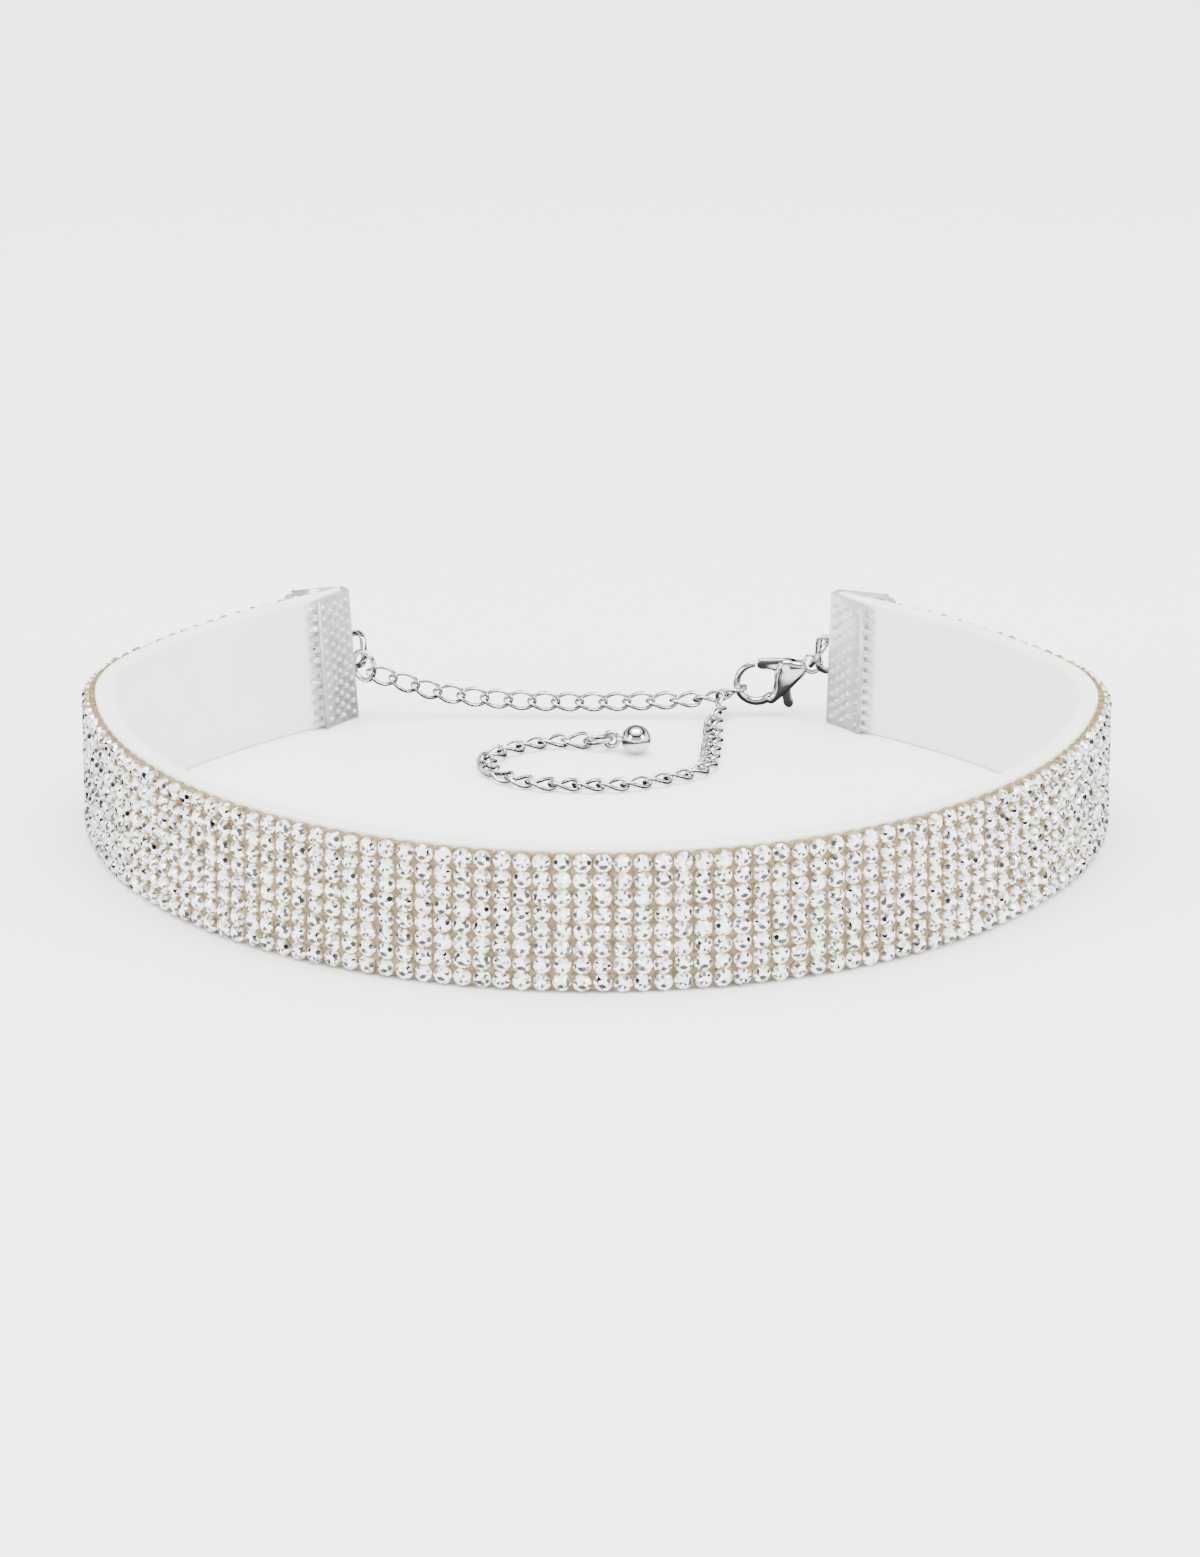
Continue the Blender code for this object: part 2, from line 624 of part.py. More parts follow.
def clasp_lever(made):
    """Gate and thumb piece in one, turning on the pin through the shoulder."""
    outline = [(u - PIVOT[0], v - PIVOT[1]) for u, v in scaled(LEVER)]
    half = LEVER_THICKNESS / 2
    lever = add_object("clasp_lever", prism("lever", outline, -half, half), made)
    lever.location = clasp_origin() + Vector((PIVOT[0], 0, PIVOT[1]))
    bore = prism("bore", disc_outline((0, 0), PIVOT_RADIUS + LEVER_CLEARANCE, 12), -2 * half, 2 * half)
    boolean(lever, [bore], "DIFFERENCE")
    return lever


def tail_end(made):
    """Oval ring at the tail's last link, and the ball whose eye hangs in it."""
    last = link_frames()[-1]
    ahead = last.to_3x3() @ Vector((1, 0, 0))
    joint = last.translation + LINK_PITCH / 2 * ahead
    flat_ahead = Vector((*BALL_DIRECTION, 0)).normalized()
    ring_ahead = (flat_ahead + Vector((0, 0, TAIL_RING_RISE))).normalized()
    ring_centre = joint + (TAIL_RING_HALF_LENGTH - TAIL_RING_WIRE - LINK_PLAY / 2) * ring_ahead
    line = oval(TAIL_RING_HALF_LENGTH, TAIL_RING_HALF_WIDTH, count=14)
    ring = add_object("tail_ring", wire_loop("tail_ring", line, TAIL_RING_WIRE, 6), made)
    ring.matrix_world = placed(ring_centre, ring_ahead, UP)
    inner_end = ring_centre + (TAIL_RING_HALF_LENGTH - TAIL_RING_WIRE) * ring_ahead
    eye_centre = inner_end + (BALL_EYE_RADIUS - BALL_WIRE - LINK_PLAY) * flat_ahead
    ball_centre = eye_centre + BALL_REACH * flat_ahead
    ball_centre.z = BALL_RADIUS + BALL_LIFT
    to_ball = (ball_centre - eye_centre).normalized()
    ball_centre = eye_centre + BALL_REACH * to_ball
    shape = bmesh.new()
    bmesh.ops.create_uvsphere(shape, u_segments=14, v_segments=9, radius=BALL_RADIUS)
    sphere = bpy.data.meshes.new("ball")
    shape.to_mesh(sphere)
    shape.free()
    sphere.shade_smooth()
    ball = add_object("end_ball", sphere, made)
    ball.location = ball_centre
    back = -BALL_REACH * to_ball
    turns = [2 * math.pi * i / 14 for i in range(14)]
    eye = [back + BALL_EYE_RADIUS * (math.cos(t) * to_ball + math.sin(t) * UP) for t in turns]
    across = to_ball.cross(UP).normalized()
    neck = []
    for distance in (BALL_EYE_RADIUS, BALL_REACH - 0.8 * BALL_RADIUS):
        middle = back + distance * to_ball
        spots = [2 * math.pi * k / 8 for k in range(8)]
        neck.append([middle + BALL_NECK * (math.cos(a) * across + math.sin(a) * UP) for a in spots])
    boolean(ball, [wire_loop("eye", eye, BALL_WIRE, 6), loft("neck", neck)], "UNION")
    return [ring, ball]


def stand_over_origin(frame, pieces):
    """Puts the middle of the necklace's outline over the origin, with its lowest point on z = 0."""
    bpy.context.view_layer.update()
    graph = bpy.context.evaluated_depsgraph_get()
    corners = []
    for piece in pieces:
        shaped = piece.evaluated_get(graph)
        corners += [shaped.matrix_world @ vertex.co for vertex in shaped.data.vertices]
    low = Vector(min(c[k] for c in corners) for k in range(3))
    high = Vector(max(c[k] for c in corners) for k in range(3))
    frame.location = (-(low.x + high.x) / 2, -(low.y + high.y) / 2, -low.z)


def main():
    for item in list(bpy.data.objects):
        bpy.data.objects.remove(item, do_unlink=True)
    suede = material("white_backing", (0.88, 0.88, 0.86), 0.9)
    bed = material("stone_bed", (0.62, 0.52, 0.4), 0.45)
    silver = material("silver", (0.78, 0.78, 0.79), 0.22, 1.0)
    pieces = [band_backing(suede), stone_band(bed), crimp_end("left", silver), crimp_end("right", silver)]
    for side, (centre, away, second) in ring_frames().items():
        pieces.append(jump_ring(f"jump_ring_{side}", centre, away, second, silver))
    pieces += [clasp_body(silver), clasp_lever(silver), *chain_links(silver), *tail_end(silver)]
    frame = bpy.data.objects.new("necklace", None)
    bpy.context.collection.objects.link(frame)
    for piece in pieces:
        piece.parent = frame
    stand_over_origin(frame, pieces)


if __name__ == "__main__":
    main()
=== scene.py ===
import json
import math
import random

import bpy
import numpy as np
from mathutils import Matrix, Vector


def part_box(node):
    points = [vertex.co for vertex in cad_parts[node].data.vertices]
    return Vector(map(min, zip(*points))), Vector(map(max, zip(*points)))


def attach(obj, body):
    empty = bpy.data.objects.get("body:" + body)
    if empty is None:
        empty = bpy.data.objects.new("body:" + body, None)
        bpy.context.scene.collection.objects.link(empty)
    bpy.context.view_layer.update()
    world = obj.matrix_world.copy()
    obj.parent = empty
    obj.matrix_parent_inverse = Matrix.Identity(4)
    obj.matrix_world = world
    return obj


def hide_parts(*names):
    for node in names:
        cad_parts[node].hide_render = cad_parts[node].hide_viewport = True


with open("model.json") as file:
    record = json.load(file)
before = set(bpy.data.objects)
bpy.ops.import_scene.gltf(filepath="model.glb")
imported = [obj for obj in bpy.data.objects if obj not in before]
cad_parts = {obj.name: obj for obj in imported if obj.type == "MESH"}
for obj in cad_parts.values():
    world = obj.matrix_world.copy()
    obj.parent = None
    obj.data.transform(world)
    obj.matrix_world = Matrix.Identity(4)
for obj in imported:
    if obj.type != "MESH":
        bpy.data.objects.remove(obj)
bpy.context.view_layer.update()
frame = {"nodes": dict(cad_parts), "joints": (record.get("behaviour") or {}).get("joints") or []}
mm = 0.001
up = Vector((0, 0, 1))
nodeMerge = 0.000002      # metres: points nearer than this are merged in a node's copy or a plate
stripMerge = 0.000001     # and in a strip
print("frame loaded")

# The band's plan and section, as in the part's source, in millimetres and degrees
band = {
    "arcRadii": (53.0, 20.1, 74.5),
    "leftTurns": (86.1, 35.8, 25.1),
    "rightTurns": (82.6, 40.0, 25.8),
    "frontCentreY": 11.6,
    "shift": (0.104, -0.831, 0.0),     # from the source's frame to this one
    "height": 15.0,
    "backing": 2.0,
    "bed": 0.8,
    "stoneRise": 0.7,
    "bedTop": 0.36,                  # white edge above the bed
    "bedFoot": 0.2,
    "endGap": 0.9,                   # from a crimp end's fold to the band's cut end
    "endLean": {"left": 1.15, "right": 0.45},
    "pressedShare": 0.16,
    "columnPitch": 2.0,
    "rows": 8,
}
crimp = {
    "margin": 0.1,
    "leaf": 5.5,
    "sheet": 0.35,
    "clearance": 0.3,
    "tabFrom": 0.75,                 # beyond the fold, where the polished tab starts
    "bumpRadius": 0.34,
    "bumpRise": 0.3,
    "bumpColumns": (0.8, 1.65, 2.5, 3.35),
    "bumpPitch": 1.3,
    "bumpLift": 0.1,
    "bumpRoom": 0.5,                 # kept clear under the upper edge
    "teethAt": 4.7,
    "toothStretch": 1.7,
    "toothNarrow": 0.75,
    "toothLean": 38.0,
    "edgeRound": 0.05,
    "flatAngle": 1,
    "edgeAngle": 35,
    "smoothAngle": 40,
}
halfThickness = (band["backing"] + band["bed"] + band["stoneRise"]) / 2
pressLine = band["bed"] + band["stoneRise"] - halfThickness


# Places along the band
def turnsOf(side):
    return band["leftTurns"] if side == "left" else band["rightTurns"]


def halfLength(side):
    return sum(r * math.radians(t) for r, t in zip(band["arcRadii"], turnsOf(side)))


def glueLine(along):    # point and outward direction in plan, plus to the right
    side, mirror = ("left", -1) if along < 0 else ("right", 1)
    remaining, heading = abs(along), 0.0
    x, y = 0.0, band["frontCentreY"] - band["arcRadii"][0]
    radii, turns = band["arcRadii"], turnsOf(side)
    for i, radius in enumerate(radii):
        isLast = i == len(radii) - 1
        step = remaining if isLast else min(remaining, radius * math.radians(turns[i]))
        nextHeading = heading + step / radius
        x += radius * (math.sin(nextHeading) - math.sin(heading))
        y += radius * (math.cos(heading) - math.cos(nextHeading))
        heading, remaining = nextHeading, remaining - step
    return Vector((mirror * x, y, 0)), Vector((mirror * math.sin(heading), -math.cos(heading), 0))


def stripPoint(along, out, high):
    side = "left" if along < 0 else "right"
    lean = band["endLean"][side] * (0.5 - high / band["height"]) * along / halfLength(side)
    place, outward = glueLine(along + lean)
    return (place + out * outward + high * up + Vector(band["shift"])) * mm


def thicknessShare(distance):
    held = min(1.0, max(0.0, distance / crimp["leaf"]))
    return band["pressedShare"] + (1 - band["pressedShare"]) * held


def bandPoint(along, out, high):
    share = thicknessShare(halfLength("left" if along < 0 else "right") - abs(along))
    return stripPoint(along, pressLine + (out - pressLine) * share, high)


def fromFold(side, distance):
    return (halfLength(side) - distance) * (-1 if side == "left" else 1)


def leafGap(distance):
    return halfThickness * thicknessShare(distance) + crimp["clearance"]


bandStart, bandEnd = fromFold("left", band["endGap"]), fromFold("right", band["endGap"])
columns = round((bandEnd - bandStart) / band["columnPitch"] / 2) * 2
rowHeight = (band["height"] - band["bedTop"] - band["bedFoot"]) / band["rows"]


def clearSelection():
    if bpy.context.mode != "OBJECT":
        bpy.ops.object.mode_set(mode="OBJECT")
    for item in bpy.context.selected_objects:
        item.select_set(False)


def activate(item):
    clearSelection()
    item.select_set(True)
    bpy.context.view_layer.objects.active = item


def settle(item):    # place, turn and scale into the mesh
    activate(item)
    bpy.ops.object.transform_apply(location=True, rotation=True, scale=True)


def inEdit(item, *steps):
    activate(item)
    bpy.ops.object.mode_set(mode="EDIT")
    bpy.ops.mesh.select_mode(type="VERT")
    bpy.ops.mesh.select_all(action="SELECT")
    for step in steps:
        step()
    bpy.ops.object.mode_set(mode="OBJECT")


def outwards():
    bpy.ops.mesh.select_all(action="SELECT")
    bpy.ops.mesh.normals_make_consistent(inside=False)


def smoothBy(item, degrees):
    activate(item)
    bpy.ops.object.shade_smooth_by_angle(angle=math.radians(degrees))


def applyAll(item):
    activate(item)
    for step in list(item.modifiers):
        bpy.ops.object.modifier_apply(modifier=step.name)


def addObject(name, data):
    item = bpy.data.objects.new(name, data)
    bpy.context.scene.collection.objects.link(item)
    return item


def joinInto(main, parts):
    activate(main)
    for part in parts:
        part.select_set(True)
    bpy.ops.object.join()


def finishPiece(item, name, material, body, node):
    item.name = name
    item.data.materials.clear()
    item.data.materials.append(material)
    settle(item)
    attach(item, body)
    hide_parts(node)


def copyOfNode(node):    # merged copy of a CAD node's mesh
    clearSelection()
    copy = addObject(node + "_copy", frame["nodes"][node].data.copy())
    inEdit(copy, lambda: bpy.ops.mesh.remove_doubles(threshold=nodeMerge))
    return copy


def nodePoints(node):
    item = frame["nodes"][node]
    return np.unique(np.round([tuple(item.matrix_world @ v.co) for v in item.data.vertices], 7), axis=0)


def mainAxes(points):    # middle, and directions from the longest to the shortest
    middle = points.mean(axis=0)
    axes = np.linalg.eigh(np.cov((points - middle).T))[1]
    first, second = Vector(axes[:, 2]), Vector(axes[:, 1])
    return Vector(middle), first, second, first.cross(second)


def turned(middle, first, second, third):
    return Matrix.Translation(middle) @ Matrix((first, second, third)).transposed().to_4x4()


def newMaterial(name, sockets):
    made = bpy.data.materials.new(name)
    made.use_nodes = True
    shader = made.node_tree.nodes["Principled BSDF"]
    for socket, value in sockets.items():
        shader.inputs[socket].default_value = value
    return made, made.node_tree, shader


def addNode(tree, kind, **settings):
    node = tree.nodes.new(kind)
    for key, value in settings.items():
        setattr(node, key, value)
    return node


def grainGroup():    # fine grain: a mask of soft patches and a height
    group = bpy.data.node_groups.new("surfaceGrain", "ShaderNodeTree")
    for socket, kind in (("Patch Scale", "NodeSocketFloat"), ("Grain Scale", "NodeSocketFloat")):
        group.interface.new_socket(socket, in_out="INPUT", socket_type=kind)
    for socket in ("Patches", "Grain"):
        group.interface.new_socket(socket, in_out="OUTPUT", socket_type="NodeSocketFloat")
    start, end = addNode(group, "NodeGroupInput"), addNode(group, "NodeGroupOutput")
    place = addNode(group, "ShaderNodeTexCoord")
    for source, target, detail in (("Patch Scale", "Patches", 3.0), ("Grain Scale", "Grain", 2.0)):
        noise = addNode(group, "ShaderNodeTexNoise")
        noise.inputs["Detail"].default_value = detail
        group.links.new(place.outputs["Object"], noise.inputs["Vector"])
        group.links.new(start.outputs[source], noise.inputs["Scale"])
        group.links.new(noise.outputs["Fac"], end.inputs[target])
    return group


grain = grainGroup()


def grainMaterial(name, look):    # colour and roughness vary between two values, with a fine bump
    made, tree, shader = newMaterial(name, look["sockets"])
    source = addNode(tree, "ShaderNodeGroup", node_tree=grain)
    source.inputs["Patch Scale"].default_value = look["patchScale"]
    source.inputs["Grain Scale"].default_value = look["grainScale"]
    ramp = addNode(tree, "ShaderNodeValToRGB")
    for stop, position, colour in zip(ramp.color_ramp.elements, (0.3, 0.7), look["colours"]):
        stop.position = position
        stop.color = (*colour, 1)
    tree.links.new(source.outputs["Patches"], ramp.inputs["Fac"])
    tree.links.new(ramp.outputs["Color"], shader.inputs["Base Color"])
    rough = addNode(tree, "ShaderNodeMapRange")
    rough.inputs["To Min"].default_value, rough.inputs["To Max"].default_value = look["roughnesses"]
    tree.links.new(source.outputs["Grain"], rough.inputs["Value"])
    tree.links.new(rough.outputs["Result"], shader.inputs["Roughness"])
    relief = addNode(tree, "ShaderNodeBump")
    relief.inputs["Strength"].default_value = look["bump"]
    relief.inputs["Distance"].default_value = look["bumpDistance"]
    tree.links.new(source.outputs["Grain"], relief.inputs["Height"])
    tree.links.new(relief.outputs["Normal"], shader.inputs["Normal"])
    return made


brightLook = {
    "colours": ((0.64, 0.64, 0.65), (0.78, 0.78, 0.79)),
    "roughnesses": (0.05, 0.12),
    "patchScale": 900.0,
    "grainScale": 6000.0,
    "bump": 0.04,
    "bumpDistance": 0.00002,
    "sockets": {"Metallic": 1.0},
}
brightSilver = grainMaterial("brightSilver", brightLook)

pressedLook = {
    "colours": ((0.62, 0.62, 0.625), (0.8, 0.8, 0.795)),
    "roughnesses": (0.16, 0.3),
    "patchScale": 900.0,
    "grainScale": 6000.0,
    "bump": 0.2,
    "bumpDistance": 0.00002,
    "sockets": {"Metallic": 0.55},
}
pressedSilver = grainMaterial("pressedSilver", pressedLook)

suedeLook = {
    "colours": ((0.75, 0.757, 0.72), (0.81, 0.817, 0.78)),
    "roughnesses": (0.85, 1.0),
    "patchScale": 120.0,
    "grainScale": 9000.0,
    "bump": 0.35,
    "bumpDistance": 0.00006,
    "sockets": {"Sheen Weight": 0.25, "Sheen Roughness": 0.6, "Specular IOR Level": 0.2},
}
whiteSuede = grainMaterial("whiteSuede", suedeLook)

# Painted shade: the foil's colours are set darker than the champagne foil's own, to stand in for the shade
# between and around the stones
foilShadedLook = {
    "colours": ((0.085, 0.054, 0.02), (0.3, 0.212, 0.104)),
    "roughnesses": (0.25, 0.6),
    "patchScale": 1800.0,
    "grainScale": 7000.0,
    "bump": 0.5,
    "bumpDistance": 0.00006,
    "sockets": {"Metallic": 0.0},
}
champagneFoilPaintedShade = grainMaterial("champagneFoilPaintedShade", foilShadedLook)

crystalLook = {
    "Roughness": 0.05,
    "Metallic": 0.25,
    "IOR": 1.6,
    "Coat Weight": 0.4,
    "Coat Roughness": 0.02,
    "Emission Strength": 0.4,      # stands for light that comes back through the stone
}


def crystalMaterial():
    made, tree, shader = newMaterial("crystal", crystalLook)
    # painted reflections: each facet's painted tone is the stone's colour and also its glow
    tone = addNode(tree, "ShaderNodeAttribute", attribute_name="paintedReflectionTone")
    for socket in ("Base Color", "Emission Color"):
        tree.links.new(tone.outputs["Color"], shader.inputs[socket])
    return made


crystal = crystalMaterial()
print("materials made")


def wrapStrip(name, stations, profileAt):    # a grid wrapped round the band's section and along it
    count = len(profileAt(stations[0]))
    clearSelection()
    bpy.ops.mesh.primitive_grid_add(x_subdivisions=len(stations) - 1, y_subdivisions=count, size=1)
    strip = bpy.context.active_object
    grid = sorted(range(len(strip.data.vertices)), key=lambda i: (
        round(strip.data.vertices[i].co.x, 5), round(strip.data.vertices[i].co.y, 5)))
    for i, along in enumerate(stations):
        profile = profileAt(along)
        for j in range(count + 1):
            out, high = profile[j % count]
            strip.data.vertices[grid[i * (count + 1) + j]].co = bandPoint(along, out, high)

    def closeEnds():
        bpy.ops.mesh.remove_doubles(threshold=stripMerge)
        bpy.ops.mesh.select_all(action="DESELECT")
        bpy.ops.mesh.select_non_manifold()
        bpy.ops.mesh.edge_face_add()

    inEdit(strip, closeEnds, outwards)
    strip.name = name
    return strip


suede = {
    "samples": 360,
    "edgeRound": 0.35,
    "edgeSteps": 4,
    "glue": 0.02,        # room left under the foil
    "smoothAngle": 35,
}


def suedeProfile(along):
    inner, outer, r = -band["backing"], -suede["glue"], suede["edgeRound"]
    low, high = 0.0, band["height"]
    corners = ((inner + r, low + r, 180), (inner + r, high - r, 90),
               (outer - r, high - r, 0), (outer - r, low + r, -90))
    points = []
    for out, level, start in corners:
        for k in range(suede["edgeSteps"] + 1):
            turn = math.radians(start + 90 - 90 * k / suede["edgeSteps"])
            points.append((out + r * math.cos(turn), level + r * math.sin(turn)))
    return points


def spread(start, end, count):
    return [start + (end - start) * i / count for i in range(count + 1)]


backing = wrapStrip("suedeBacking", spread(bandStart, bandEnd, suede["samples"]), suedeProfile)
smoothBy(backing, suede["smoothAngle"])
finishPiece(backing, "suedeBacking", whiteSuede, "necklace", "band_backing")
print("suede backing made")

foil = {
    "perColumn": 6,
    "scallop": 0.2,
    "rowSteps": 24,
    "dish": 0.12,
    "lip": 0.15,         # how far the bed's edges turn down
    "smoothAngle": 40,
}


def foilProfile(along):
    column = (along - bandStart) / (bandEnd - bandStart) * columns
    across = abs(math.sin(math.pi * column))
    low = band["bedFoot"] + foil["scallop"] * (1 - across)
    high = band["height"] - band["bedTop"] - foil["scallop"] * (1 - across)
    face = []
    for level in spread(low, high, foil["rowSteps"]):
        rowAcross = abs(math.sin(math.pi * (level - band["bedFoot"]) / rowHeight))
        face.append((band["bed"] - foil["dish"] * across * rowAcross, level))
    face[0] = (face[0][0] - foil["lip"], face[0][1])
    face[-1] = (face[-1][0] - foil["lip"], face[-1][1])
    return face + [(0.0, high), (0.0, low)]


bed = wrapStrip("foilBed", spread(bandStart, bandEnd, columns * foil["perColumn"]), foilProfile)
smoothBy(bed, foil["smoothAngle"])
finishPiece(bed, "foilBed", champagneFoilPaintedShade, "necklace", "stone_band")
print("foil bed made")

# One stone is cut with bisecting planes and then set in every place
stone = {
    "radius": 0.95,
    "sides": 16,
    "blankLow": -0.25,
    "tableHigh": 0.56,
    "girdleHigh": 0.16,
    "facetStep": 45.0,      # degrees from one main facet to the next
    "kiteTilt": 40.0,
    "starTilt": 24.0,
    "starReach": 0.60,      # share of the radius where the star facets meet the table's height
    "girdleTilt": 50.0,
    "girdleReach": 0.985,
    "girdleDrop": 0.02,
    "flatNormal": 0.99,     # a facet that faces up more than this is the table
    "steepNormal": 0.7,     # and one that faces up less than this is an edge facet
    "wobble": 2.5,          # degrees that a set stone leans
    "shake": 0.04,          # millimetres that it sits off its place
    "sizeSpread": 0.03,
    "seed": 11,
}


def facetPlanes():    # direction and tilt of each facet, and the reach and height of a point on it
    step, radius, high = stone["facetStep"], stone["radius"], stone["girdleHigh"]
    girdle = (stone["girdleTilt"], radius * stone["girdleReach"], high - stone["girdleDrop"])
    star = (stone["starTilt"], radius * stone["starReach"], stone["tableHigh"])
    count = round(360 / step)
    planes = [(step * k, stone["kiteTilt"], radius, high) for k in range(count)]
    planes += [(step / 2 * k + step / 4, *girdle) for k in range(2 * count)]
    planes += [(step * k + step / 2, *star) for k in range(count)]
    return planes


def cutStone():
    clearSelection()
    depth = stone["tableHigh"] - stone["blankLow"]
    bpy.ops.mesh.primitive_cylinder_add(vertices=stone["sides"], radius=stone["radius"], depth=depth,
                                        location=(0, 0, stone["blankLow"] + depth / 2))
    gem = bpy.context.active_object
    settle(gem)
    inEdit(gem, *[lambda p=plane: cutFacet(*p) for plane in facetPlanes()], outwards)
    activate(gem)
    for face in gem.data.polygons:
        face.select = face.normal.z > stone["flatNormal"]
    bpy.ops.object.mode_set(mode="EDIT")
    bpy.ops.mesh.select_mode(type="FACE")
    bpy.ops.mesh.poke()
    bpy.ops.object.mode_set(mode="OBJECT")
    return gem


def cutFacet(azimuth, tilt, reach, high):
    turn, lean = math.radians(azimuth), math.radians(tilt)
    normal = (math.sin(lean) * math.cos(turn), math.sin(lean) * math.sin(turn), math.cos(lean))
    bpy.ops.mesh.select_all(action="SELECT")
    bpy.ops.mesh.bisect(plane_co=(reach * math.cos(turn), reach * math.sin(turn), high), plane_no=normal,
                        use_fill=True, clear_outer=True)


# Every stone is painted with reflections: light facets are painted highlights, and dark marks low on its
# table and on its upper sides are painted dark reflections, as in a studio shot.
# Each rule is a kind of facet, the directions it holds for in degrees, and (share, lowest, highest) tones.
paintedFacetReflections = {
    "rules": (
        ("table", 200, 340, ((0.62, 0.0, 0.06), (0.15, 0.3, 0.6))),
        ("table", 0, 360, ((0.05, 0.1, 0.3), (0.12, 0.6, 0.8))),
        ("round", -10, 52, ((0.5, 0.0, 0.08), (0.18, 0.2, 0.6))),
        ("round", 128, 190, ((0.5, 0.0, 0.08), (0.18, 0.2, 0.6))),
        ("round", 235, 305, ((0.1, 0.05, 0.2), (0.22, 0.3, 0.8))),
        ("round", 0, 360, ((0.1, 0.05, 0.2), (0.18, 0.3, 0.8))),
        ("edge", 0, 360, ((0.62, 0.14, 0.55),)),
    ),
    "paintedHighlightTone": (0.94, 1.0),
    "paintedFoilShine": (1.0, 0.8, 0.53),      # painted reflection: the foil's colour painted on as if it came through at a stone's edge
    # painted coloured glints: each facet's tone is tinted at random by up to this much
    "paintedGlintTint": 0.05,
    "step": 22.5,                        # degrees within which facets of a kind share a tone
}


def paintedTonesFor(kind, direction):
    for name, start, end, tones in paintedFacetReflections["rules"]:
        if name == kind and (direction - start) % 360 < end - start:
            return tones


# a facet's painted reflection tone: a painted highlight, or a painted dark reflection by the rules above
def paintedToneOf(kind, direction, dice):
    roll, (low, high) = dice.random(), paintedFacetReflections["paintedHighlightTone"]
    for share, darkest, lightest in paintedTonesFor(kind, direction):
        if roll < share:
            low, high = darkest, lightest
            break
        roll -= share
    level = dice.uniform(low, high)
    # painted reflection of the foil on the darker edge facets
    isPaintedFoilShine = kind == "edge" and high < paintedFacetReflections["paintedHighlightTone"][0]
    base = paintedFacetReflections["paintedFoilShine"] if isPaintedFoilShine else (1.0, 1.0, 1.0)
    shades = [level * (part + dice.uniform(-1, 1) * paintedFacetReflections["paintedGlintTint"]) for part in base]
    return (*[min(1.0, shade) for shade in shades], 1.0)


def stonePlace(column, row, dice):
    pitch = (bandEnd - bandStart) / columns
    along = bandStart + (column + 0.5) * pitch + dice.uniform(-1, 1) * stone["shake"]
    high = band["bedFoot"] + (row + 0.5) * rowHeight + dice.uniform(-1, 1) * stone["shake"]
    share = thicknessShare(halfLength("left" if along < 0 else "right") - abs(along))
    seat = bandPoint(along, band["bed"], high)
    outward = (bandPoint(along, band["bed"] + 0.5, high) - seat).normalized()
    across = up.cross(outward).normalized()
    lean = Matrix.Rotation(math.radians(dice.uniform(-1, 1) * stone["wobble"]), 4, "X")
    lean = lean @ Matrix.Rotation(math.radians(dice.uniform(-1, 1) * stone["wobble"]), 4, "Y")
    spin = dice.uniform(0, 360)
    size = mm * (1 + dice.uniform(-1, 1) * stone["sizeSpread"])
    flatten = Matrix.Diagonal((size, size, size * share, 1))
    place = turned(seat, across, outward.cross(across), outward) @ flatten @ lean
    return place @ Matrix.Rotation(math.radians(spin), 4, "Z"), spin


def kindOf(facet):
    if facet.normal.z > stone["flatNormal"]:
        return "table"
    return "round" if facet.normal.z > stone["steepNormal"] else "edge"


def setRow(gem, row, dice):
    corners = np.array([tuple(v.co) for v in gem.data.vertices])
    faces = [tuple(f.vertices) for f in gem.data.polygons]
    facets = [(kindOf(f), math.degrees(math.atan2(f.center.y, f.center.x))) for f in gem.data.polygons]
    points, polygons, tones = [], [], []
    for column in range(columns):
        place, spin = stonePlace(column, row, dice)
        place = np.array(place)
        first = len(points) * len(corners)
        points.append(corners @ place[:3, :3].T + place[:3, 3])
        polygons += [tuple(first + i for i in face) for face in faces]
        drawn = {}
        for kind, azimuth in facets:      # facets that share a direction share a painted reflection tone
            group = kind, int(azimuth % 360 / paintedFacetReflections["step"])
            if group not in drawn:
                drawn[group] = paintedToneOf(kind, azimuth + spin, dice)
            tones.append(drawn[group])
    mesh = bpy.data.meshes.new(f"stonesRow{row + 1}")
    mesh.from_pydata(np.concatenate(points).tolist(), [], polygons)
    colours = mesh.color_attributes.new("paintedReflectionTone", "FLOAT_COLOR", "CORNER")
    perCorner = np.repeat(np.array(tones), [len(p) for p in polygons], axis=0)
    colours.data.foreach_set("color", perCorner.astype(np.float32).ravel())
    item = addObject(mesh.name, mesh)
    finishPiece(item, mesh.name, crystal, "necklace", "stone_band")


gem = cutStone()
print("stone cut with", len(gem.data.polygons), "faces")
stoneDice = random.Random(stone["seed"])
for row in range(band["rows"]):
    setRow(gem, row, stoneDice)
bpy.data.objects.remove(gem, do_unlink=True)
print("stones set:", columns * band["rows"])


